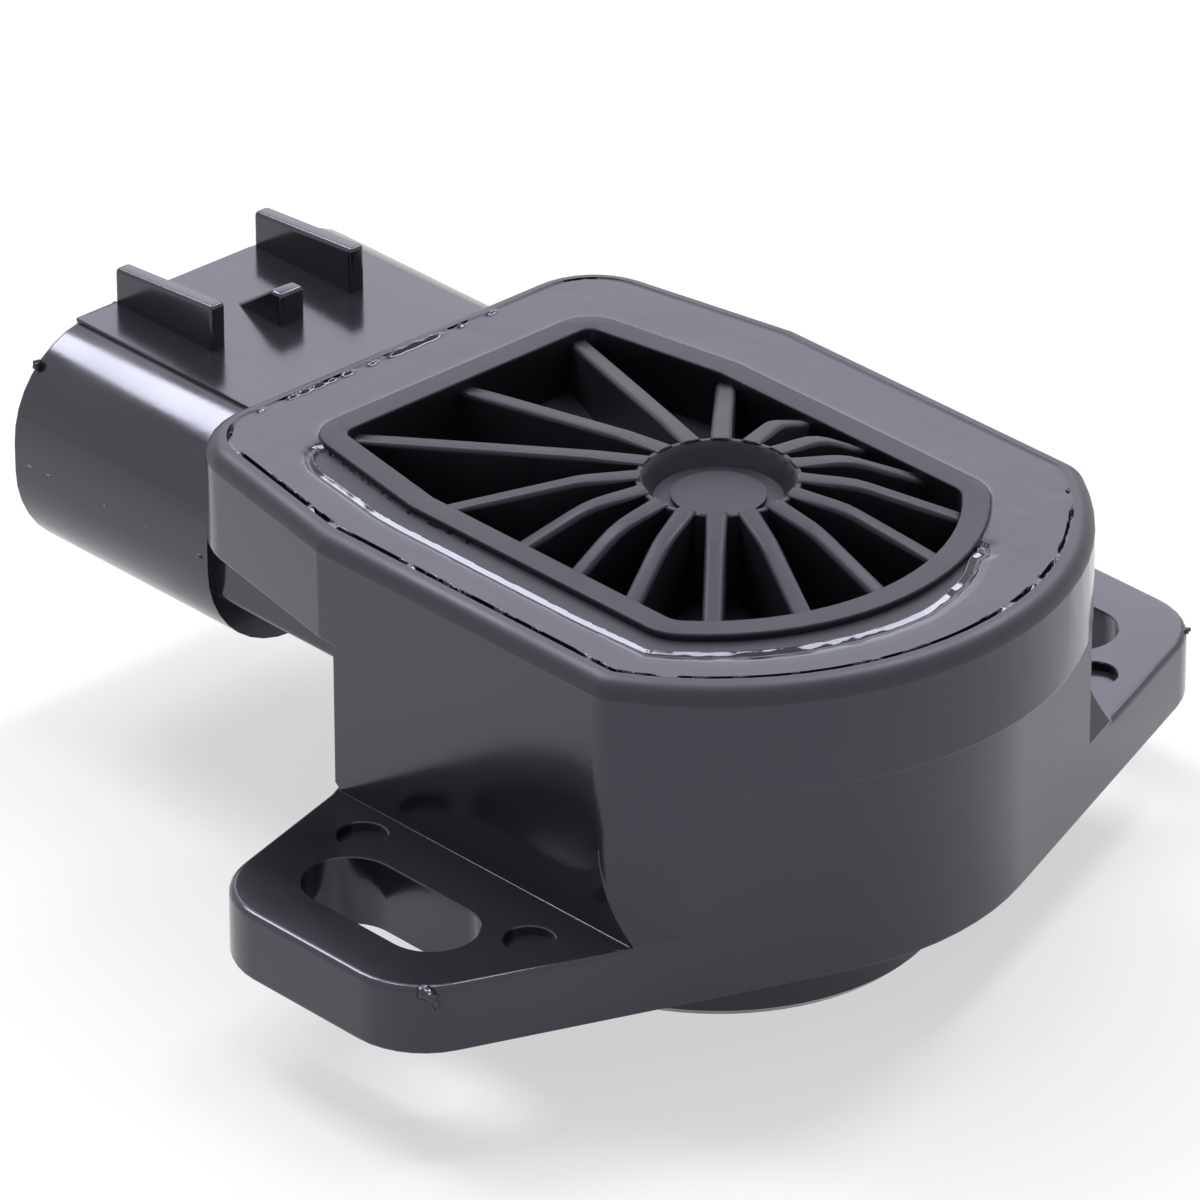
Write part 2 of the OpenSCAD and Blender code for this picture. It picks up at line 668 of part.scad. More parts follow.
// Rotor: journal, collar, flange with the brush seats, and the upper pivot
rotor_bottom = rotor_recess - spigot_h;
collar_z = sleeve_h + washer_t + run_gap;
collar_r = journal_r + run_gap + sleeve_t;
dog_r = rotor_flange_r - 0.15;
stake_r = 0.6;
stake_h = brush_t + 0.3;
// Each brush: its direction, and the radii of the two tracks that it joins
BRUSHES = [[brush_a, collector_r, resistor_r], [brush_a + 180, idle_r, collector_r]];
stake_turns = [-15, -5];
module stakes(b, z, r, h) {
    for (da = stake_turns) {
        rotate([0, 0, b[0] + da]) translate([(b[1] + b[2]) / 2, 0, z]) cylinder(r = r, h = h, $fn = 32);
    }
}

module rotor() {
    color([0.75, 0.73, 0.68]) difference() {
        union() {
            rotate_extrude($fn = fine) polygon([
                [0, rotor_bottom], [journal_r, rotor_bottom], [journal_r, collar_z],
                [collar_r, collar_z], [collar_r, flange_z], [rotor_flange_r, flange_z],
                [rotor_flange_r, flange_top], [pivot_r, flange_top],
                [pivot_r, cover_floor_z + pivot_depth - drop_gap],
                [0, cover_floor_z + pivot_depth - drop_gap]]);
            slab(flange_z - dog_low, flange_z + overrun / 2)
                polygon(sector(coil_r + wire_d / 2 + 0.4, dog_r,
                    closed_a - dog_a / 2, closed_a + dog_a / 2));
            for (b = BRUSHES) stakes(b, flange_top - overrun / 2, stake_r, stake_h + overrun / 2);
        }
        translate([0, 0, rotor_bottom - overrun])
            cylinder(r = socket_r, h = drive_depth + overrun, $fn = fine);
        translate([-key_reach, -key_w / 2, rotor_bottom - overrun])
            cube([2 * key_reach, key_w, drive_depth + overrun]);
    }
}

module thrust_washer() {
    color([0.9, 0.9, 0.86]) translate([0, 0, sleeve_h]) difference() {
        cylinder(r = collar_r, h = washer_t, $fn = fine);
        translate([0, 0, -overrun])
            cylinder(r = journal_r + drop_gap / 2, h = washer_t + 2 * overrun, $fn = fine);
    }
}

// Shaft seal: a ring with a shallow V in its lower face, between spigot and journal
module shaft_seal() {
    lip_r = journal_r + drop_gap;
    mid_r = (lip_r + seal_r) / 2;
    top = seal_h + 0.3 - spigot_h;
    color([0.08, 0.08, 0.08]) rotate_extrude($fn = fine) polygon([
        [lip_r, top], [lip_r, top - seal_h], [lip_r + 0.5, top - seal_h],
        [mid_r, top - seal_h / 2], [seal_r - 0.5, top - seal_h], [seal_r, top - seal_h],
        [seal_r, top]]);
}

module spigot_o_ring() {
    r = spigot_r - o_ring_inset - o_ring_d / 2;
    color([0.08, 0.08, 0.08]) translate([0, 0, -groove_z - 0.15 - o_ring_d / 2])
        rotate_extrude($fn = fine) translate([r, 0]) circle(r = o_ring_d / 2, $fn = 32);
}

module return_spring() {
    color([0.7, 0.7, 0.72]) wire(spring_path, wire_d / 2);
}

// Drive clip: a folded leaf in one keyway that takes up the play of the shaft's key
module drive_clip() {
    w = key_w - 0.4;
    top = rotor_bottom + drive_depth - 0.6;
    low = rotor_bottom + 1.2;
    t = drive_clip_t;
    x = key_reach - t;
    bow = key_reach - 1.4;
    color([0.72, 0.72, 0.74]) across_y(0, w) polygon([
        [key_reach, low], [key_reach, top], [x - 0.6, top], [bow, (low + top) / 2 + 1],
        [bow, (low + top) / 2 - 1], [bow + t, (low + top) / 2 - 1],
        [bow + t, (low + top) / 2 + 1 - t / 4], [x - 0.5, top - t], [x, top - t], [x, low]]);
}

// Brush plates: a staked sector with fingers that rise to two neighbouring tracks
plate_tail = 20;
plate_head = 10;
finger_reach = 2.6;
finger_spread = (track_w - finger_w) / 2.4;

// A profile drawn as [tangent, z] at the radius r
module across_tangent(r, w) {
    translate([r - w / 2, 0, 0]) rotate([90, 0, 90]) linear_extrude(w) children();
}

// One finger, set so that its contact lands on the radius r
module finger(r, base_a) {
    rise = board_z - track_t - brush_gap - flange_top;
    root_r = sqrt(r * r - finger_reach * finger_reach);
    rotate([0, 0, base_a]) translate([0, 0, flange_top]) across_tangent(root_r, finger_w) polygon([
        [-brush_t, 0], [brush_t, 0], [finger_reach - brush_t, rise - brush_t * 1.5],
        [finger_reach + 0.3, rise - brush_t * 0.7], [finger_reach + 0.3, rise],
        [finger_reach - 0.3, rise], [-brush_t, brush_t]]);
}

module brush(b) {
    color([0.8, 0.62, 0.35]) {
        difference() {
            slab(flange_top, flange_top + brush_t)
                polygon(sector(b[1] - track_w, b[2] + track_w / 2, b[0] - plate_tail, b[0] + plate_head));
            stakes(b, flange_top - overrun, stake_r + 0.02, brush_t + 2 * overrun);
        }
        for (r = [b[1], b[2]], k = [-1 : 1]) finger(r + k * finger_spread, b[0] + plate_head - 1);
    }
}

module signal_brush() {
    brush(BRUSHES[0]);
}

module idle_brush() {
    brush(BRUSHES[1]);
}

module track_board() {
    color([0.86, 0.85, 0.8]) slab(board_z, board_z + board_t) difference() {
        polygon(d_outline(BOX, cavity_inset + drop_gap));
        circle(r = board_hole_r, $fn = fine);
    }
}

// A printed track over a span of angles that is measured from the signal brush
resistor_span = [10, travel + 40];
idle_span = [190, 240];
module track(r, span, shade) {
    color(shade) slab(board_z - track_t, board_z)
        polygon(sector(r - track_w / 2, r + track_w / 2, brush_a + span[0], brush_a + span[1]));
}

module resistor_track() {
    track(resistor_r, resistor_span, [0.1, 0.1, 0.1]);
}

module collector_ring() {
    color([0.75, 0.75, 0.76]) slab(board_z - track_t, board_z) difference() {
        circle(r = collector_r + track_w / 2, $fn = fine);
        circle(r = collector_r - track_w / 2, $fn = fine);
    }
}

module idle_track() {
    track(idle_r, idle_span, [0.75, 0.75, 0.76]);
}

module tin_plated() {
    color([0.78, 0.78, 0.76]) children();
}

housing();
cover();
potting_seal();
rotor();
thrust_washer();
shaft_seal();
spigot_o_ring();
return_spring();
drive_clip();
signal_brush();
idle_brush();
track_board();
resistor_track();
collector_ring();
idle_track();
tin_plated() terminal(term_y[0]);  // terminal_supply
tin_plated() terminal(term_y[1]);  // terminal_signal
tin_plated() terminal(term_y[2]);  // terminal_idle
tin_plated() terminal(term_y[3]);  // terminal_ground
tin_plated() contact_clip(term_y[0]);  // clip_supply
tin_plated() contact_clip(term_y[1]);  // clip_signal
tin_plated() contact_clip(term_y[2]);  // clip_idle
tin_plated() contact_clip(term_y[3]);  // clip_ground
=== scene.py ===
# %% [markdown]
# # Throttle position sensor
#
# The object is a rotary sensor from an engine: a glossy black moulded housing with two
# slotted ears, a four-way connector shroud, and a ribbed cover potted into its top.
# The solids come from the CAD model as a fixed frame. This script gives them the small
# radii, the poured epoxy, the moulding marks and the finishes that the real one shows.

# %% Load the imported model
import math

import bmesh
import bpy
from mathutils import Matrix, Vector, noise


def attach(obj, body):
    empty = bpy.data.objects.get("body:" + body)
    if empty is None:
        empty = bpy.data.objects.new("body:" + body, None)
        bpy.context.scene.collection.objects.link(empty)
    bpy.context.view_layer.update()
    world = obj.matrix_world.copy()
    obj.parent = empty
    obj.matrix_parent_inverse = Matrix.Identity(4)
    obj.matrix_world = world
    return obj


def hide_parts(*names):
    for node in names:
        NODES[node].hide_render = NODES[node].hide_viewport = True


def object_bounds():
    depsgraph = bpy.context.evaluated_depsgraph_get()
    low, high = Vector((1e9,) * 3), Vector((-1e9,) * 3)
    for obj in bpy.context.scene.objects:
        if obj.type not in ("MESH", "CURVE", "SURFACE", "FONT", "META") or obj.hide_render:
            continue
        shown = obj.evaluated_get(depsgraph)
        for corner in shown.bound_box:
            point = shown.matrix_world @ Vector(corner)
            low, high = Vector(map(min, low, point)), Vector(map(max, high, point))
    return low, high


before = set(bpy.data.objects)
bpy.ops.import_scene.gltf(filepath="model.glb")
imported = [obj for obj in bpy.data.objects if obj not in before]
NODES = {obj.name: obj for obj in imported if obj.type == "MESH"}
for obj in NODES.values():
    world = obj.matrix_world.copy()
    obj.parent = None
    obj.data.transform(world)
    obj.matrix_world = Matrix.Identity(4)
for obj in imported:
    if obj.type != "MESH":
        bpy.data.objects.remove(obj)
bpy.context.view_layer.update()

MM = 0.001

# %% [markdown]
# ## The camera
#
# A long lens from about 0.6 m, at 29 degrees above the object and 47 degrees round from
# its near side. The view was solved from edges that run along known directions.

# %% Camera
VIEW_TURN = 47.114
VIEW_HEIGHT = 28.627
VIEW_ROLL = -0.153
VIEW_DISTANCE = 612.0 * MM
VIEW_SIDE = -6.702 * MM
VIEW_RISE = 12.390 * MM
FOCAL = 322.43


def view_axes():
    """Right, up and forward of the camera."""
    turn, height, roll = (math.radians(a) for a in (VIEW_TURN, VIEW_HEIGHT, VIEW_ROLL))
    level = Vector((-math.sin(turn), math.cos(turn), 0.0))
    right = Vector((math.cos(turn), math.sin(turn), 0.0))
    forward = level * math.cos(height) - Vector((0, 0, math.sin(height)))
    up = level * math.sin(height) + Vector((0, 0, math.cos(height)))
    return (
        right * math.cos(roll) + up * math.sin(roll),
        up * math.cos(roll) - right * math.sin(roll),
        forward,
    )


right, up, forward = view_axes()
camera = bpy.data.objects.new("camera", bpy.data.cameras.new("camera"))
bpy.context.scene.collection.objects.link(camera)
camera.data.sensor_width = 36.0
camera.data.lens = FOCAL
camera.data.clip_start = 0.05
camera.data.clip_end = 20.0
axes = Matrix((right, up, -forward)).transposed().to_4x4()
place = right * VIEW_SIDE + up * VIEW_RISE - forward * VIEW_DISTANCE
camera.matrix_world = Matrix.Translation(place) @ axes
bpy.context.scene.camera = camera
print("camera at", [round(c, 4) for c in place])

# %% [markdown]
# ## The box's outline
#
# The top of the housing is a D: straight back, tapered sides and a round front. The rim,
# the epoxy and the cover's opening all follow it, so one function draws it for any inset.
# It can also put extra points on the arcs and straights, which the poured epoxy needs.

# %% The D outline
# Back, half back, taper start, half width, front radius and centre, three corner radii
BOX = (27.8, 15.8, 13.0, 18.6, 21.4, -0.4, 5.0, 1.0, 2.4)
# Steps on the front, leads, sides, side corners, tapers, back corners and back
FINE = (170, 10, 74, 3, 38, 26, 130)
LEAST_CORNER = 0.4


def turned(centre, radius, start, end, steps):
    """Points on an arc, with angles in degrees."""
    angles = [math.radians(start + (end - start) * i / steps) for i in range(steps + 1)]
    return [(centre[0] + radius * math.cos(a), centre[1] + radius * math.sin(a)) for a in angles]


def rounded(point, radius, start, end, steps):
    """A rounded corner between two edges with the given outward directions."""
    a, b = math.radians(start), math.radians(end)
    reach = radius / (1 + math.cos(a - b))
    centre = [point[0] - reach * (math.cos(a) + math.cos(b)), point[1] - reach * (math.sin(a) + math.sin(b))]
    return turned(centre, radius, start, end, steps)


def along(start, end, steps):
    """Points between two ends, without the ends."""
    shares = [i / steps for i in range(1, steps)]
    return [(start[0] + (end[0] - start[0]) * s, start[1] + (end[1] - start[1]) * s) for s in shares]


def d_outline(shape, inset, counts):
    """The D moved in by `inset`; counts are steps on front, corners and straights."""
    back, half_back, taper, half, front_r, front_x, back_r, side_r, lead_r = shape
    front_steps, lead_steps, side_steps, side_turn, taper_steps, back_turn, back_steps = counts
    lean = math.atan2(half - half_back, back - taper)
    reach = back * math.sin(lean) + half_back * math.cos(lean) - inset
    rear = (inset - back, (reach - (back - inset) * math.sin(lean)) / math.cos(lean))
    side = (((half - inset) * math.cos(lean) - reach) / math.sin(lean), half - inset)
    lead = max(lead_r - inset, LEAST_CORNER)
    span = math.sqrt((front_r - inset - lead) ** 2 - (half - inset - lead) ** 2)
    centre = (front_x + span, half - inset - lead)
    front = math.degrees(math.atan2(centre[1], span))
    lean = math.degrees(lean)
    first = turned(centre, lead, front, 90, lead_steps)[1:]
    second = rounded(side, max(side_r - inset, LEAST_CORNER), 90, 90 + lean, side_turn)
    third = rounded(rear, max(back_r - inset, LEAST_CORNER), 90 + lean, 180, back_turn)
    half_line = first + along(first[-1], second[0], side_steps) + second
    half_line += along(second[-1], third[0], taper_steps) + third
    other = [(x, -y) for x, y in reversed(half_line)]
    nose = turned((front_x, 0.0), front_r - inset, -front, front, front_steps)
    closing = along(half_line[-1], other[0], back_steps)
    return nose + half_line + closing + other


wall_line = d_outline(BOX, 0.0, FINE)
print("points round the box:", len(wall_line))


def off_wall(x, y):
    """Millimetres from a point to the nearest point of the box's outline."""
    return min(math.hypot(x - px, y - py) for px, py in wall_line)


# %% [markdown]
# ## Merged copies of the solids
#
# The small radii could be modelled anew, but then the exact sizes of the solids would be
# lost. A copy of each CAD mesh is rounded instead. Such a mesh is loose triangles, so
# the copy is merged, and only the flat faces beside the edges that will be rounded are
# joined. Edges are told apart by the faces that meet there: one level and one upright,
# pointing away from the middle.

# %% Merged copies
MERGE = 0.002


def merged_copy(node):
    """A bmesh of a CAD node with its loose triangles merged."""
    shape = bmesh.new()
    shape.from_mesh(NODES[node].data)
    bmesh.ops.remove_doubles(shape, verts=shape.verts, dist=MERGE * MM)
    shape.normal_update()
    return shape


def middle(item):
    """The middle of an edge or face, in millimetres."""
    return sum((v.co for v in item.verts), Vector()) / (len(item.verts) * MM)


def join_flat(shape, wanted):
    """Joins coplanar triangles where both faces beside an edge are wanted."""
    edges = [
        e
        for e in shape.edges
        if len(e.link_faces) == 2
        and e.calc_face_angle(0.0) < math.radians(0.2)
        and all(wanted(middle(f), f.normal) for f in e.link_faces)
    ]
    bmesh.ops.dissolve_limit(shape, angle_limit=math.radians(0.3), verts=[], edges=edges)


# %% Telling edges apart
BOX_MIDDLE = -5.0


def outward(edge, sign):
    """1 or -1 for an upright face pointing away from or to the middle, beside a level one."""
    for level, wall in (edge.link_faces, reversed(edge.link_faces)):
        if level.normal.z * sign > 0.95 and abs(wall.normal.z) < 0.3:
            place = middle(edge)
            away = wall.normal.x * (place.x - BOX_MIDDLE) + wall.normal.y * place.y
            return 1 if away > 0 else -1
    return 0


def level_at(edge, z, tol=0.02):
    """True for an edge that lies at height z."""
    return all(abs(v.co.z / MM - z) < tol for v in edge.verts)


# %% Rounding edges
def round_edges(shape, wanted, width, segments, least=30.0, convex=True):
    """Bevels the wanted outer (or inner) edges sharper than `least` degrees."""
    edges = [
        e
        for e in shape.edges
        if len(e.link_faces) == 2
        and e.is_convex == convex
        and e.calc_face_angle(0.0) > math.radians(least)
        and wanted(middle(e), e)
    ]
    if edges:
        bmesh.ops.bevel(
            shape,
            geom=edges,
            offset=width * MM,
            offset_type="OFFSET",
            segments=segments,
            profile=0.5,
            affect="EDGES",
            material=-1,
            clamp_overlap=False,
        )
        shape.normal_update()
    return len(edges)


# %% Finishing a piece
SHARP = 32.0


def finish_piece(shape, name, body, sharp=SHARP, weighted=True):
    """A smooth-shaded object from a bmesh, riding on a body."""
    many = [f for f in shape.faces if len(f.verts) > 4]
    bmesh.ops.triangulate(shape, faces=many, quad_method="BEAUTY", ngon_method="BEAUTY")
    shape.normal_update()
    for face in shape.faces:
        face.smooth = True
    for edge in shape.edges:
        edge.smooth = len(edge.link_faces) == 2 and edge.calc_face_angle(0.0) < math.radians(sharp)
    mesh = bpy.data.meshes.new(name)
    shape.to_mesh(mesh)
    shape.free()
    piece = bpy.data.objects.new(name, mesh)
    bpy.context.scene.collection.objects.link(piece)
    if weighted:
        normals = piece.modifiers.new("weighted_normals", "WEIGHTED_NORMAL")
        normals.keep_sharp = True
    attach(piece, body)
    print(name, "faces:", len(mesh.polygons))
    return piece


# %% [markdown]
# ## The housing's rim
#
# The real rim is rolled over by more than a millimetre, almost its whole thickness. A
# bevel that wide would fold on the solid's thin triangles, so the box is cut level below
# the roll instead. Its outer edge is then extruded upward in small steps round a quarter
# circle, following the outline moved in, and joined to the inner wall.

# %% Cut the rim off
RIM = 1.2
RIM_Z = 20.1
ROLL = 1.15
ROLL_STEPS = 8
CUT_Z = RIM_Z - ROLL
BOX_END = -29.0
housing = merged_copy("housing")


def on_box(item):
    """True for what belongs to the box, not to the connector."""
    return all(v.co.x / MM > BOX_END for v in getattr(item, "verts", [item]))


whole = list(housing.faces) + list(housing.edges) + list(housing.verts)
bmesh.ops.bisect_plane(
    housing,
    geom=[item for item in whole if on_box(item)],
    plane_co=(0, 0, CUT_Z * MM),
    plane_no=(0, 0, 1),
    clear_outer=True,
    dist=1e-7,
)
open_edges = [e for e in housing.edges if e.is_boundary]
outer = [e for e in open_edges if off_wall(*middle(e)[:2]) < 0.6]
inner = [e for e in open_edges if e not in set(outer)]
print("open edges outside and inside:", len(outer), len(inner))

# %% Roll the rim over
def station(x, y):
    """Where a point lies on the outline: point number and share of the way on."""
    best = (1e9, 0, 0.0)
    for i, (ax, ay) in enumerate(wall_line):
        bx, by = wall_line[(i + 1) % len(wall_line)]
        dx, dy = bx - ax, by - ay
        run = dx * dx + dy * dy or 1e-9
        share = min(1.0, max(0.0, ((x - ax) * dx + (y - ay) * dy) / run))
        best = min(best, (math.hypot(x - ax - share * dx, y - ay - share * dy), i, share))
    return best[1], best[2]


places = {v: station(v.co.x / MM, v.co.y / MM) for e in outer for v in e.verts}
loop = outer
for step in range(1, ROLL_STEPS + 2):
    turn = min(step, ROLL_STEPS) / ROLL_STEPS * math.pi / 2
    inset = ROLL * (1 - math.cos(turn)) if step <= ROLL_STEPS else RIM
    line = d_outline(BOX, inset, FINE)
    below = {v for e in loop for v in e.verts}
    made = bmesh.ops.extrude_edge_only(housing, edges=loop)["geom"]
    loop = [i for i in made if isinstance(i, bmesh.types.BMEdge) and not (set(i.verts) & below)]
    raised = {}
    for vert in [i for i in made if isinstance(i, bmesh.types.BMVert)]:
        under = next(e.other_vert(vert) for e in vert.link_edges if e.other_vert(vert) in places)
        number, share = places[under]
        (ax, ay), (bx, by) = line[number], line[(number + 1) % len(line)]
        height = CUT_Z + ROLL * math.sin(turn)
        vert.co = Vector((ax + (bx - ax) * share, ay + (by - ay) * share, height)) * MM
        raised[vert] = (number, share)
    places = raised
bmesh.ops.bridge_loops(housing, edges=loop + inner)
roll_faces = [f for f in housing.faces if middle(f).z > CUT_Z + 0.01 and on_box(f)]
bmesh.ops.recalc_face_normals(housing, faces=housing.faces)
housing.normal_update()
for face in roll_faces:
    face.material_index = 1
print("faces of the rim:", len(roll_faces))

# %% [markdown]
# ## The housing's other edges
#
# Everything that came out of the mould has a small radius: 0.4 mm on the ears, 0.3 mm on
# the flange's underside, about 0.25 mm under the box and at the connector's mouth, and a
# little on the rails and the lock ramp. Round the slots and the ejector pins' recesses,
# and where the box meets the ears, the radius is only just seen as a thin line of light.
# Each radius is cut on its own group of edges, so that one group can't upset another.

# %% Where the edges are
EAR_TOP = 4.3
EAR_ROOT = 18.0
BOX_Z = 13.4
BOX_UNDER_END = -27.0
CONN_END = -45.0
RAIL_END = CONN_END + 9.1
CROWN_Z = 18.3
CROWN_HALF = 9.0
SPIGOT_CLEAR = 14.0
SLOT_Y = 25.0
SLOT_ZONE = (6.4, 3.0)
EJECTORS = ((-6.8, 21.0), (8.1, 22.0))
EJECTOR_ZONE = 1.7


def on_slot(place):
    """True beside one of the two mounting slots."""
    return abs(place.x) < SLOT_ZONE[0] and abs(abs(place.y) - SLOT_Y) < SLOT_ZONE[1]


def on_ejector(place):
    """True beside one of the four recesses left by ejector pins."""
    return any(math.hypot(place.x - x, abs(place.y) - y) < EJECTOR_ZONE for x, y in EJECTORS)


print("rails end at", RAIL_END, "and the crown is at", CROWN_Z)

# %% Small radii
join_flat(
    housing,
    lambda m, n: (m.x < RAIL_END and m.z > CROWN_Z + 0.2)
    or (abs(n.z) < 0.05 and abs(m.y) > EAR_ROOT + 0.9 and m.z < EAR_TOP),
)
counts = {
    "ear tops": round_edges(
        housing,
        lambda m, e: level_at(e, EAR_TOP)
        and abs(m.y) > EAR_ROOT
        and outward(e, 1)
        and not on_slot(m)
        and not on_ejector(m),
        0.4,
        3,
    ),
    "slots and ejector recesses": round_edges(
        housing,
        lambda m, e: level_at(e, EAR_TOP) and outward(e, 1) and (on_slot(m) or on_ejector(m)),
        0.07,
        1,
    ),
    "foot of the box on the ears": round_edges(
        housing,
        lambda m, e: level_at(e, EAR_TOP) and abs(m.y) > EAR_ROOT - 2.0 and not on_ejector(m),
        0.12,
        2,
        60.0,
        False,
    ),
    "crown": round_edges(
        housing,
        lambda m, e: level_at(e, CROWN_Z) and m.x < BOX_END and abs(abs(m.y) - CROWN_HALF) < 0.05,
        0.08,
        1,
    ),
    "flange underside": round_edges(
        housing,
        lambda m, e: level_at(e, 0.0)
        and math.hypot(m.x, m.y) > SPIGOT_CLEAR
        and outward(e, -1)
        and not on_slot(m),
        0.3,
        2,
    ),
    "box underside": round_edges(
        housing,
        lambda m, e: level_at(e, BOX_Z) and outward(e, -1) == 1 and m.x > BOX_UNDER_END,
        0.25,
        2,
    ),
    "rails and ramp": round_edges(
        housing,
        lambda m, e: m.x < RAIL_END and m.z > CROWN_Z + 0.05,
        0.28,
        3,
    ),
    "connector mouth": round_edges(
        housing,
        lambda m, e: m.z < CROWN_Z - 0.1
        and all(abs(v.co.x / MM - CONN_END) < 0.01 for v in e.verts),
        0.22,
        2,
    ),
}
print("edges rounded:", counts)

# %% [markdown]
# ## The guide rails
#
# On the real connector the two rails' tops climb a little towards the box, and their
# inner ends stop short. The points of the rails are slid to match, which keeps the
# rounded edges as they are.

# %% Slope of the rails
RAIL_LENGTH = 9.0
RAIL_RISE = (0.1, 0.6)
RAIL_SHORT = 0.35
RAIL_SIDES = (4.0, 7.0)
moved = 0
for vert in housing.verts:
    x, y, z = vert.co / MM
    if x < RAIL_END and z > CROWN_Z + 0.6 and abs(y) > RAIL_SIDES[0]:
        vert.co.z += (RAIL_RISE[0] + RAIL_RISE[1] * (x - CONN_END) / RAIL_LENGTH) * MM
        moved += 1
    on_end = RAIL_END - 0.9 < x < RAIL_END and z > CROWN_Z - 0.1
    if on_end and RAIL_SIDES[0] < abs(y) < RAIL_SIDES[1]:
        vert.co.x -= RAIL_SHORT * MM
print("points of the rails moved:", moved)

# %% [markdown]
# ## Marks of moulding
#
# The plastic entered at the corner of one ear, where the runner was broken off and left
# a torn nub. Thin flash stands on the other ear, at the corner of the connector's mouth
# and here and there on the shroud's parting line. All are small balls sunk into the
# moulding, stretched and pushed about by noise, which gives no two the same shape.


# %% Nub and flash
def lump(shape, place, size, seed):
    """A torn lump of plastic: a small ball, stretched and pushed about by noise."""
    made = bmesh.ops.create_icosphere(shape, subdivisions=3, radius=1.0)["verts"]
    for vert in made:
        push = 1.0 + 0.35 * noise.noise(vert.co * 1.7 + Vector((seed, 0, 0)))
        vert.co = Vector([(place[i] + size[i] * vert.co[i] * push) * MM for i in range(3)])


# Place, half sizes and noise seed of each mark: the nub, the far ear, the shroud
MARKS = (
    ((8.0, -29.7, 3.95), (0.8, 0.42, 0.42), 1.0),
    ((7.6, -29.95, 3.3), (0.3, 0.22, 0.6), 4.0),
    ((8.5, -29.3, 3.4), (0.28, 0.2, 0.45), 8.0),
    ((7.7, 29.85, 4.05), (0.45, 0.25, 0.2), 2.0),
    ((8.0, 29.98, 4.15), (0.16, 0.2, 0.12), 6.0),
    ((-44.7, -12.22, 16.53), (0.25, 0.32, 0.3), 3.0),
    ((-28.5, -13.97, 10.85), (0.25, 0.14, 0.16), 5.0),
)
PARTING = (-13.97, 10.9)
for place, size, seed in MARKS:
    lump(housing, place, size, seed)
for i, x in enumerate((-43.6, -41.9, -36.8, -33.4)):
    lump(housing, (x, PARTING[0], PARTING[1] + 0.06 * (i % 2)), (0.4, 0.07, 0.04), 10.0 + i)

housing_shell = finish_piece(housing, "housing_shell", "sensor")
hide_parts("housing")

# %% [markdown]
# ## The cover
#
# The cover is a second moulding, a little duller. Its ribs, its hub and the lip round
# its opening have small radii that catch a thin line of light, and the hub's edge keeps
# a few specks of flash. The ribs come first, since the lip's own bevel makes new edges.

# %% Cover with moulded radii
LIP_Z = 20.27
FRAME_Z = 19.85
HUB_R = 4.71
HUB_TOP = 22.13
RIB_Z = 19.4
cover = merged_copy("cover")
cover_counts = {
    "ribs": round_edges(
        cover,
        lambda m, e: m.z > RIB_Z
        and math.hypot(m.x, m.y) > HUB_R + 0.2
        and not level_at(e, LIP_Z)
        and not level_at(e, FRAME_Z)
        and max(f.normal.z for f in e.link_faces) > 0.3,
        0.32,
        3,
    ),
    "lip": round_edges(cover, lambda m, e: level_at(e, LIP_Z) and outward(e, 1), 0.15, 3),
    "hub": round_edges(
        cover,
        lambda m, e: m.z > LIP_Z and HUB_R - 0.6 < math.hypot(m.x, m.y) <= HUB_R + 0.2,
        0.06,
        1,
    ),
}
print("cover edges rounded:", cover_counts)

# %% Specks on the hub
SPECK_R = 4.5
SPECK_Z = 21.96
for i, angle in enumerate((-62, -55, -49, -36, -28)):
    a = math.radians(angle)
    lump(cover, (SPECK_R * math.cos(a), SPECK_R * math.sin(a), SPECK_Z), (0.16, 0.12, 0.06), 20.0 + i)
for vert in cover.verts:
    vert.co.z = min(vert.co.z, HUB_TOP * MM)
cover_shell = finish_piece(cover, "cover_shell", "sensor")
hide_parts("cover")

# %% [markdown]
# ## The epoxy
#
# Epoxy is poured into the channel between rim and cover. It stands level with the rim,
# floods the cover's frame and wets the lip, but draws back along the near side, where a
# bare trench is left. A grid is wrapped round the box: its columns follow the outline,
# its rows cross the channel. Each point then gets the height of the cured surface.

# %% The trench's edge
# Points along the near side from the back, then how far in from the round front it lies
NEAR_SIDE = [(-19.6, -10.0), (-20.6, -11.0), (-21.0, -11.5), (-21.0, -12.1), (-20.7, -12.7), (-20.1, -13.2)]
NEAR_SIDE += [(-19.1, -13.7), (-18.2, -13.92), (-17.0, -14.1), (-14.85, -14.44), (-12.6, -14.82)]
NEAR_SIDE += [(-10.5, -14.9), (-4.0, -14.92), (4.0, -14.9)]
FRONT_INSETS = ((-58, 3.7), (-30, 3.75), (0, 3.9), (15, 4.6), (24, 5.2))
FRONT_END = [(14.3, 7.3), (13.6, 8.0), (12.6, 7.9), (11.0, 7.0)]


def between(pairs, value):
    """Straight-line interpolation in a short table."""
    for (x0, y0), (x1, y1) in zip(pairs, pairs[1:]):
        if value <= x1:
            return y0 + (y1 - y0) * max(0.0, value - x0) / (x1 - x0)
    return pairs[-1][1]


front_side = []
for angle in range(-56, 26, 2):
    reach = BOX[4] - between(FRONT_INSETS, angle)
    a = math.radians(angle)
    front_side.append((BOX[5] + reach * math.cos(a), reach * math.sin(a)))
trench_line = NEAR_SIDE + [p for p in front_side if p[0] > 8.0 or p[1] > -14.0] + FRONT_END
trench_zone = trench_line + [(0.0, 0.0)]
print("points along the trench:", len(trench_line))


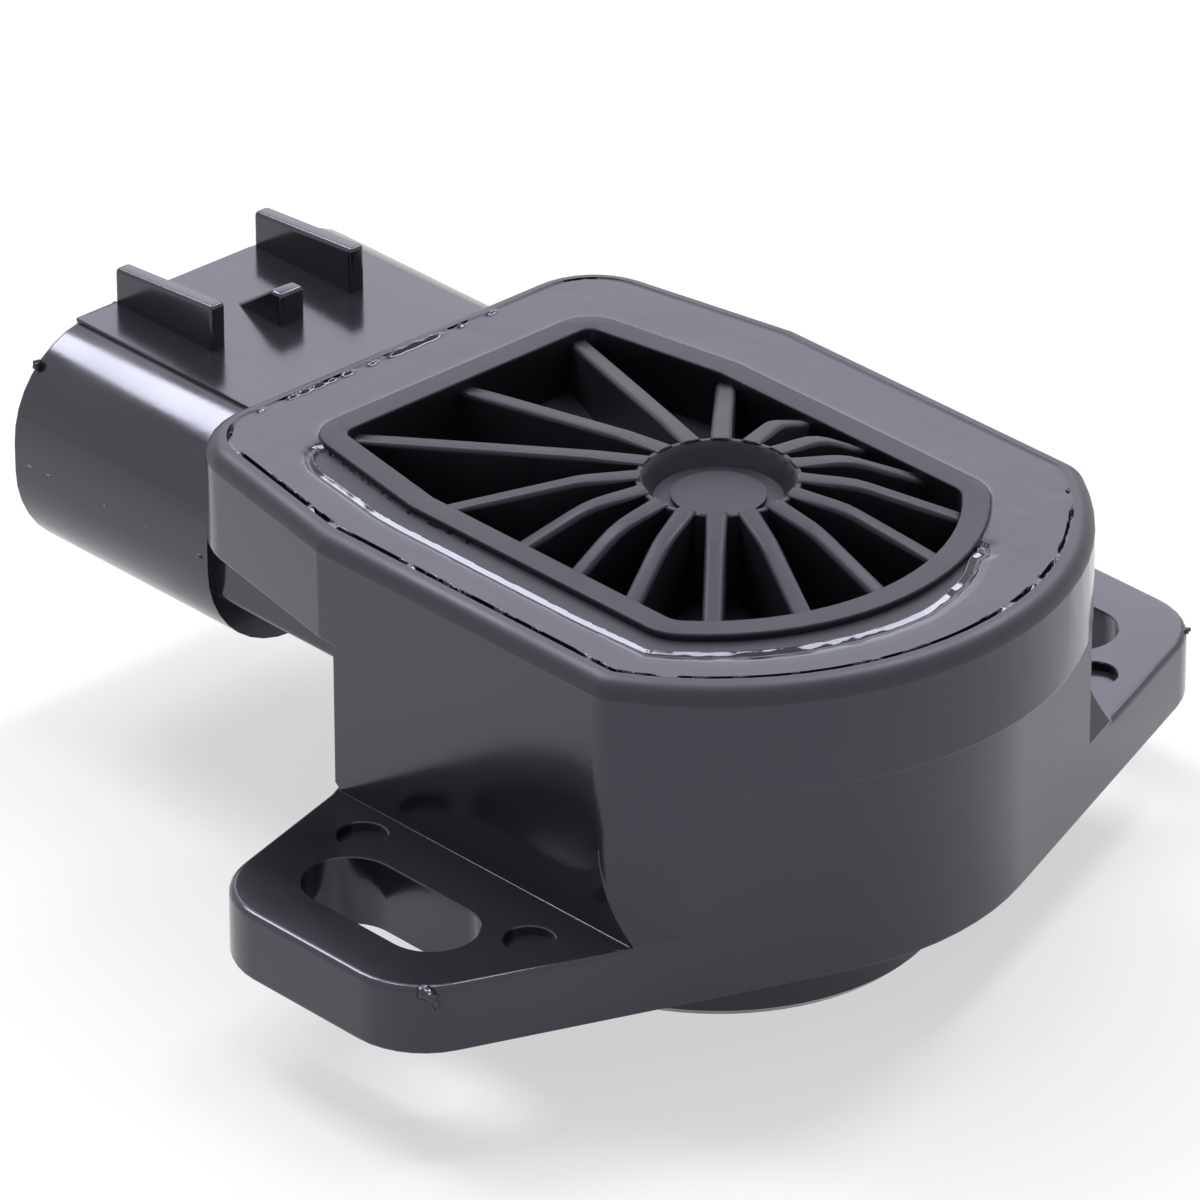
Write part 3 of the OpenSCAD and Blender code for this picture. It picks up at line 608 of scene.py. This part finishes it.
def trench_depth(x, y):
    """Signed millimetres from the trench's outer edge, positive inside it."""
    gap, inside = 1e9, False
    for (ax, ay), (bx, by) in zip(trench_line, trench_line[1:]):
        dx, dy = bx - ax, by - ay
        share = min(1.0, max(0.0, ((x - ax) * dx + (y - ay) * dy) / (dx * dx + dy * dy)))
        gap = min(gap, math.hypot(x - ax - share * dx, y - ay - share * dy))
    for (ax, ay), (bx, by) in zip(trench_zone, trench_zone[1:] + trench_zone[:1]):
        if (ay > y) != (by > y) and x < ax + (y - ay) / (by - ay) * (bx - ax):
            inside = not inside
    return gap if inside else -gap


# %% [markdown]
# The cured surface isn't flat. It has a faint swell everywhere. Beside the rim it has
# shrunk away in dashes, most of all on the near side and the front, and by the connector
# it has run into a row of beads. It climbs a little at the lip. Across the trench's edge
# it rolls off, drops, and rises again in a narrow fillet, which is the bright line that
# follows the cover in the photograph.

# %% Marks along the rim
POT_Z = 20.05
DASH_DEPTH = 0.34
DASH_EDGE = 0.04
# Place along the back, half length and height of each bead by the connector
BEADS = [(-11.0, 0.25, 0.1), (-8.6, 0.3, 0.16), (-7.7, 0.35, 0.2), (-6.6, 0.4, 0.22), (-5.6, 0.3, 0.16)]
BEADS += [(-4.4, 0.35, 0.2), (-2.5, 0.3, 0.16), (-0.6, 0.6, 0.2), (0.7, 0.8, 0.24), (2.1, 0.6, 0.2)]
BEADS += [(4.4, 0.22, 0.12), (6.75, 0.3, 0.14)]
BEAD_GAIN = 1.2
BEAD_HALF = 0.25
BACK_X = -25.0
FRONT_X = 12.0


def wave(x, y, size, seed):
    """Smooth noise between about -1 and 1, with lumps `size` millimetres apart."""
    return noise.noise(Vector((x / size, y / size, seed)))


def rim_marks(x, y, across):
    """What the dashes and beads add to the height, `across` millimetres from the rim."""
    # Open dashes are common at the front and on the near side, and rare on the far side
    near = 0.8 if x > FRONT_X else max(0.0 if x < BACK_X else -0.6, -y / 18.0)
    open_share = wave(x, y, 2.1, 11.0) + 0.65 * near - 0.3
    cut = min(1.0, max(0.0, open_share * 5.0))
    height = 0.04 * (1.0 - cut) * max(0.0, 1.0 - across / 0.2)
    # The sides of a dash are steep, because a gentle slope would mirror the light
    edge = (0.15 + 0.25 * max(0.0, near) + 0.07 * wave(x, y, 0.7, 19.0)) * min(1.0, 2.0 * cut)
    height -= DASH_DEPTH * min(1.0, max(0.0, (edge - across) / DASH_EDGE))
    if x < BACK_X:
        crown = max(0.0, 1.0 - ((across - BEAD_HALF) / BEAD_HALF) ** 2)
        for place, wide, high in BEADS:
            height += BEAD_GAIN * high * crown * math.exp(-(((y - place) / wide) ** 2))
    return height


print("beads:", len(BEADS), "deepest dash:", DASH_DEPTH)

# %% Height of the cured surface
CREASE = 0.52
CLIMB = (0.07, 0.16)
NO_TRENCH_Y = -15.5


def groove(s, wide):
    """Depth across the trench's edge: roll off, dark drop, bright fillet, then bare."""
    table = (
        (-wide, 0.0),
        (-wide * 0.45, 0.012),
        (0.0, 0.04 + 0.05 * wide),
        (0.08, 0.15),
        (0.15, 0.198),
        (0.22, 0.188),
        (0.32, 0.14),
        (0.42, 0.085),
        (0.5, 0.035),
        (0.55, 0.045),
        (0.62, 0.3),
        (0.9, 0.6),
    )
    return between(table, s)


def surface(x, y, across, width):
    """Height of the epoxy, `across` millimetres from the rim on a channel `width` wide."""
    z = POT_Z + 0.018 * wave(x, y, 4.5, 3.0) + 0.006 * wave(x, y, 1.3, 7.0)
    if across < CREASE:
        z += rim_marks(x, y, across)
    to_lip = width - across
    climb = CLIMB[0] * math.exp(-to_lip / CLIMB[1])
    if y > NO_TRENCH_Y or x > 0.0:
        # Towards the round front the trench's edge gets softer and its fillet wider
        front = min(1.0, max(0.0, (x - 6.0) / 8.0))
        s = trench_depth(x, y) + (0.02 + 0.07 * front) * wave(x, y, 1.1, 5.0)
        if s > 0.0:
            s /= 1.0 + 0.45 * front
        wide = 0.55 + 0.6 * front
        drop = groove(s, wide)
        if 0.15 < s < 0.55:
            drop += (0.004 + 0.012 * front) * wave(x, y, 0.6, 13.0)
        # Towards the back, crumbs of epoxy still cling to the lip
        if s > 0.5 and to_lip < 0.22 and x < -6.0 and wave(x, y, 0.5, 17.0) > 0.05:
            drop = 0.1
        if s > -wide:
            climb *= max(0.0, 1.0 - (s + wide) * 2)
        z -= drop
    return z + climb


print("height by the far rim:", round(surface(0.0, 17.0, 0.4, 5.0), 3))

# %% [markdown]
# The grid's rows stand close together in the crease beside the rim and in the trench,
# and further apart between them. After its two ends are merged, a skirt is drawn down
# from both edges and closed underneath, so that the pour is a solid ring.

# %% Wrap the grid round the box
# The cover's opening, in the same order as the box, and the width of its lip
OPENING = (20.9, 9.5, 11.56, 11.08, 14.48, -1.23, 0.8, 0.8, 1.5)
LIP = 1.65
SKIRT = 1.2
# Millimetres from the rim: close in the crease, wider across the pour, close up to the lip
crease_rows = [0.0, 0.04, 0.08, 0.12, 0.16, 0.2, 0.25, 0.3, 0.35, 0.4, 0.45, 0.5]
middle_rows = [0.5 + 0.145 * i for i in range(1, 12)]
trench_rows = [2.11 + 0.052 * i for i in range(1, 50)]
rows = [r / trench_rows[-1] for r in crease_rows + middle_rows + trench_rows]
outer_line = d_outline(BOX, RIM, FINE)
lip_line = d_outline(OPENING, -LIP, FINE)
columns = len(outer_line)
pour = bmesh.new()
bmesh.ops.create_grid(pour, x_segments=columns, y_segments=len(rows) - 1, size=0.5)
for vert in pour.verts:
    column = round((vert.co.x + 0.5) * columns) % columns
    share = rows[round((vert.co.y + 0.5) * (len(rows) - 1))]
    (ax, ay), (bx, by) = outer_line[column], lip_line[column]
    x, y = ax + (bx - ax) * share, ay + (by - ay) * share
    width = math.hypot(bx - ax, by - ay)
    vert.co = Vector((x, y, surface(x, y, share * width, width))) * MM
bmesh.ops.remove_doubles(pour, verts=pour.verts, dist=1e-8)
print("columns and rows of the pour:", columns, len(rows))

# %% Close the pour and finish it
rims = [e for e in pour.edges if e.is_boundary]
skirt = bmesh.ops.extrude_edge_only(pour, edges=rims)["geom"]
for vert in [i for i in skirt if isinstance(i, bmesh.types.BMVert)]:
    vert.co.z = (POT_Z - SKIRT) * MM
bmesh.ops.bridge_loops(pour, edges=[e for e in pour.edges if e.is_boundary])
bmesh.ops.recalc_face_normals(pour, faces=pour.faces)
potting_pour = finish_piece(pour, "potting_pour", "sensor", 60.0, False)
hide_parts("potting_seal")

# %% [markdown]
# ## Finishes
#
# Each finish starts from what the real material is. Colours are written as the eye
# reads them, in sRGB hex, and one function turns them to the linear values that the
# shaders need. The patterns could be painted pictures, but those would have to be
# unwrapped and would stretch over the rounded edges. They are noise in each piece's own
# coordinates instead, with sizes in real millimetres.


# %% Helpers for finishes
def tone(code):
    """Linear RGBA from an sRGB hex code."""
    parts = [int(code[i : i + 2], 16) / 255 for i in (0, 2, 4)]
    return [c / 12.92 if c <= 0.04045 else ((c + 0.055) / 1.055) ** 2.4 for c in parts] + [1.0]


def per_mm(size):
    """Texture scale for a pattern whose features are `size` millimetres apart."""
    return 1.0 / (size * MM)


def add(tree, kind, settings=None, values=None, links=None):
    """Adds a node with its settings, socket values and incoming links."""
    node = tree.nodes.new(kind)
    for key, value in (settings or {}).items():
        setattr(node, key, value)
    for key, value in (values or {}).items():
        node.inputs[key].default_value = value
    for key, source in (links or {}).items():
        tree.links.new(source, node.inputs[key])
    return node


def material(name, **values):
    """A new material with a Principled shader; returns (material, tree, shader)."""
    made = bpy.data.materials.new(name)
    made.use_nodes = True
    tree = made.node_tree
    tree.nodes.clear()
    shader = add(tree, "ShaderNodeBsdfPrincipled", values=values)
    add(tree, "ShaderNodeOutputMaterial", links={"Surface": shader.outputs["BSDF"]})
    return made, tree, shader


# %% Moulded and poured finishes
DRIFT_SIZE = 9.0


def moulded(name, low, high, rough_low, rough_high, grain, depth, ior=1.5, sheen="ffffff", level=0.5):
    """A moulded plastic: two close tones, a drifting gloss and a fine skin."""
    values = {"IOR": ior, "Metallic": 0.0, "Specular Tint": tone(sheen), "Specular IOR Level": level}
    made, tree, shader = material(name, **values)
    where = add(tree, "ShaderNodeTexCoord").outputs["Object"]
    drift = add(
        tree,
        "ShaderNodeTexNoise",
        values={"Scale": per_mm(DRIFT_SIZE), "Detail": 3.0},
        links={"Vector": where},
    )
    colour = add(
        tree,
        "ShaderNodeMix",
        {"data_type": "RGBA"},
        {6: tone(low), 7: tone(high)},
        {0: drift.outputs["Fac"]},
    )
    gloss = add(
        tree,
        "ShaderNodeMapRange",
        values={"From Min": 0.3, "From Max": 0.7, "To Min": rough_low, "To Max": rough_high},
        links={"Value": drift.outputs["Fac"]},
    )
    skin = add(
        tree,
        "ShaderNodeTexNoise",
        values={"Scale": per_mm(grain), "Detail": 2.0},
        links={"Vector": where},
    )
    bump = add(
        tree,
        "ShaderNodeBump",
        values={"Strength": 1.0, "Distance": depth * MM},
        links={"Height": skin.outputs["Fac"]},
    )
    tree.links.new(colour.outputs[2], shader.inputs["Base Color"])
    tree.links.new(gloss.outputs["Result"], shader.inputs["Roughness"])
    tree.links.new(bump.outputs["Normal"], shader.inputs["Normal"])
    return made


# %% Putting a finish on
def dress(piece, *finishes):
    """Gives one finish, or one for each slot, to a piece or a carried-over CAD node."""
    while len(piece.material_slots) < len(finishes):
        piece.data.materials.append(None)
    for i, holder in enumerate(piece.material_slots):
        holder.material = finishes[min(i, len(finishes) - 1)]


# %% [markdown]
# The housing is polyester with glass fibre from a polished mould: near black, glossy,
# with a faint unevenness where the fibres lie near the skin. Its rim was rubbed dull
# when the box was closed. The cover is the same plastic from a duller tool. The epoxy
# cures to a wet, even gloss. Their reflections are a little blue, as those of plastics
# coloured with fine carbon black are, so the specular tint is just off white. The grain
# is drawn coarser than the real one, which would be too fine to show.

# %% Plastics and epoxy
polished = moulded("moulded_polyester_gloss", "1e1e22", "27272c", 0.13, 0.2, 0.5, 0.003, 1.62, "eaebff")
rubbed = moulded("moulded_polyester_rubbed", "1e1e22", "27272c", 0.42, 0.52, 0.5, 0.004, 1.6, "eaebff", 0.45)
satin = moulded("moulded_polyester_satin", "16161a", "1e1e23", 0.4, 0.5, 0.3, 0.006, 1.5, "e6e7ff", 0.38)
epoxy = moulded("poured_epoxy", "121216", "17171c", 0.06, 0.1, 2.5, 0.008, 1.55, "eaebff")
dress(housing_shell, polished, rubbed)
dress(cover_shell, satin)
dress(potting_pour, epoxy)
print("finishes on the outside:", [m.name for m in bpy.data.materials])

# %% [markdown]
# Inside, and in the spigot's mouth, are plainer finishes. The rotor is natural PPS, the
# cream colour of the unfilled plastic. The washer is white PTFE, waxy and soft. The
# seals are nitrile rubber, black and dull. The board is fired ceramic, chalky white, and
# the resistor ink on it is carbon, dark grey and matt.

# %% Hidden plastics, rubber and ceramic
dress(NODES["rotor"], moulded("moulded_pps_natural", "c3b99f", "cfc6b0", 0.35, 0.5, 0.4, 0.004))
dress(NODES["thrust_washer"], moulded("punched_ptfe_sheet", "e4e2da", "efeee8", 0.4, 0.55, 0.3, 0.004))
for name in ("shaft_seal", "spigot_o_ring"):
    dress(NODES[name], moulded("moulded_nitrile_rubber", "0f0f10", "17171a", 0.5, 0.68, 0.15, 0.006))
dress(NODES["track_board"], moulded("fired_ceramic_board", "dcd8cb", "e6e2d6", 0.45, 0.6, 0.2, 0.003))
dress(NODES["resistor_track"], moulded("fired_resistor_ink", "1b1b1c", "242426", 0.5, 0.65, 0.1, 0.004))
print("finishes so far:", len(bpy.data.materials))

# %% [markdown]
# Spring wire is drawn and strip is rolled, so both have fine lines along their length,
# in tone and in gloss. The spring and the drive clip are bright steel, the terminals
# and clips tin-plated brass, the brushes a warm copper alloy, and the contact tracks
# silver ink, which fires to a pale, softer sheen.


# %% Metals
def drawn_metal(name, low, high, rough, grain):
    """A drawn or stamped metal: long fine grain in tone and gloss."""
    made, tree, shader = material(name, Metallic=1.0)
    where = add(tree, "ShaderNodeTexCoord").outputs["Object"]
    stretch = add(tree, "ShaderNodeMapping", values={"Scale": (0.15, 1.0, 1.0)}, links={"Vector": where})
    lines = add(
        tree,
        "ShaderNodeTexNoise",
        values={"Scale": per_mm(grain), "Detail": 3.0},
        links={"Vector": stretch.outputs["Vector"]},
    )
    colour = add(
        tree,
        "ShaderNodeMix",
        {"data_type": "RGBA"},
        {6: tone(low), 7: tone(high)},
        {0: lines.outputs["Fac"]},
    )
    gloss = add(
        tree,
        "ShaderNodeMapRange",
        values={"To Min": rough - 0.06, "To Max": rough + 0.06},
        links={"Value": lines.outputs["Fac"]},
    )
    tree.links.new(colour.outputs[2], shader.inputs["Base Color"])
    tree.links.new(gloss.outputs["Result"], shader.inputs["Roughness"])
    return made


spring_steel = drawn_metal("drawn_spring_steel", "9b9ca0", "b6b7bb", 0.28, 0.25)
tin_plate = drawn_metal("tin_plated_brass", "b9b8b2", "cfcec9", 0.3, 0.3)
dress(NODES["return_spring"], spring_steel)
dress(NODES["drive_clip"], spring_steel)
for name in ("signal_brush", "idle_brush"):
    dress(NODES[name], drawn_metal("punched_brush_alloy", "c79a52", "d9b06c", 0.3, 0.2))
for name in ("collector_ring", "idle_track"):
    dress(NODES[name], drawn_metal("fired_silver_ink", "b4b4b4", "c6c6c6", 0.45, 0.1))
for name in NODES:
    if name.startswith(("terminal_", "clip_")):
        dress(NODES[name], tin_plate)
print("finishes:", len(bpy.data.materials))

# %% [markdown]
# ## Floor, light and background
#
# The part stands on its spigot on pale paper. The camera and the mirror rays see paper
# and surround as nearly white, so glossy faces reflect white where the real ones do,
# and the light that falls on the object stays plain. The paper can't be seen from
# below, so that the spigot and the rotor in it can be looked at.

# %% Floor
# A hair under the spigot, so that the two don't lie in one plane
FLOOR_GAP = 0.02
FLOOR_SIZE = 4.0
FLOOR_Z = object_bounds()[0][2] - FLOOR_GAP * MM
ground = bmesh.new()
bmesh.ops.create_grid(ground, x_segments=1, y_segments=1, size=FLOOR_SIZE)
bmesh.ops.translate(ground, verts=ground.verts, vec=(0, 0, FLOOR_Z))
floor_mesh = bpy.data.meshes.new("floor")
ground.to_mesh(floor_mesh)
ground.free()
floor = bpy.data.objects.new("floor", floor_mesh)
bpy.context.scene.collection.objects.link(floor)
print("floor at", round(FLOOR_Z, 5))


# %% Paper
GLOW = 0.6


def seen_directly(tree):
    """1 for camera, mirror and see-through rays, 0 for the rays that light things."""
    path = add(tree, "ShaderNodeLightPath")
    first = add(
        tree,
        "ShaderNodeMath",
        {"operation": "MAXIMUM"},
        links={0: path.outputs["Is Camera Ray"], 1: path.outputs["Is Glossy Ray"]},
    )
    return add(
        tree,
        "ShaderNodeMath",
        {"operation": "MAXIMUM"},
        links={0: first.outputs[0], 1: path.outputs["Is Transmission Ray"]},
    ).outputs[0]


paper = bpy.data.materials.new("pale_paper")
paper.use_nodes = True
tree = paper.node_tree
tree.nodes.clear()
matte = add(tree, "ShaderNodeBsdfDiffuse", values={"Color": tone("f4f4f4")})
white = add(tree, "ShaderNodeEmission", values={"Color": tone("ffffff"), "Strength": 1.0})
glow = add(tree, "ShaderNodeMath", {"operation": "MULTIPLY"}, {1: GLOW}, {0: seen_directly(tree)})
above = add(
    tree,
    "ShaderNodeMixShader",
    links={0: glow.outputs[0], 1: matte.outputs[0], 2: white.outputs[0]},
)
below = add(tree, "ShaderNodeNewGeometry").outputs["Backfacing"]
clear = add(tree, "ShaderNodeBsdfTransparent")
one_way = add(
    tree,
    "ShaderNodeMixShader",
    links={0: below, 1: above.outputs[0], 2: clear.outputs[0]},
)
add(tree, "ShaderNodeOutputMaterial", links={"Surface": one_way.outputs[0]})
dress(floor, paper)
print("paper glow:", GLOW)

# %% Surround
FILL = 0.25
world = bpy.data.worlds.new("surround")
bpy.context.scene.world = world
world.use_nodes = True
tree = world.node_tree
tree.nodes.clear()
level = add(
    tree,
    "ShaderNodeMapRange",
    values={"To Min": FILL, "To Max": 1.0},
    links={"Value": seen_directly(tree)},
)
surround = add(
    tree,
    "ShaderNodeBackground",
    values={"Color": tone("ffffff")},
    links={"Strength": level.outputs["Result"]},
)
add(tree, "ShaderNodeOutputWorld", links={"Surface": surround.outputs[0]})
print("fill light:", FILL)

# %% [markdown]
# A wide, weak box low behind the object is what its level faces mirror. Six small,
# strong ones stand in an arc from the left, over the top, to the far side. Between them
# they light the connector's shoulder, the moulded radii and, stretch by stretch, the
# bright line along the trench. They are small, so that together they add little light
# to the plain surfaces.


# %% Soft boxes
def soft_box(name, direction, distance, size, radiance, code):
    """A square area light that faces the object from a direction."""
    light = bpy.data.lights.new(name, "AREA")
    light.shape = "SQUARE"
    light.size = size
    light.energy = radiance * math.pi * size * size
    light.color = tone(code)[:3]
    box = bpy.data.objects.new(name, light)
    bpy.context.scene.collection.objects.link(box)
    away = Vector(direction).normalized()
    box.matrix_world = Matrix.Translation(away * distance) @ away.to_track_quat("Z", "Y").to_matrix().to_4x4()


soft_box("soft_box_behind", (-0.643, 0.597, 0.5), 1.4, 0.9, 1.4, "eeefff")
# Name, direction, size and radiance of the boxes in the arc
ARC = (
    ("left", (-0.643, -0.02, 0.765), 0.42, 14.0),
    ("over_left", (-0.38, 0.02, 0.92), 0.24, 12.0),
    ("above", (-0.15, 0.13, 0.98), 0.26, 12.0),
    ("over_far", (-0.04, 0.38, 0.925), 0.26, 12.0),
    ("far", (-0.08, 0.57, 0.82), 0.3, 12.0),
    ("beyond", (-0.13, 0.72, 0.68), 0.26, 12.0),
)
for name, direction, size, radiance in ARC:
    soft_box("soft_box_" + name, direction, 1.3, size, radiance, "fafaff")
print("soft boxes:", len(ARC) + 1)

# %% [markdown]
# The Standard view shows the colours as they were chosen, without a film-like curve.

bpy.context.scene.view_settings.view_transform = "Standard"
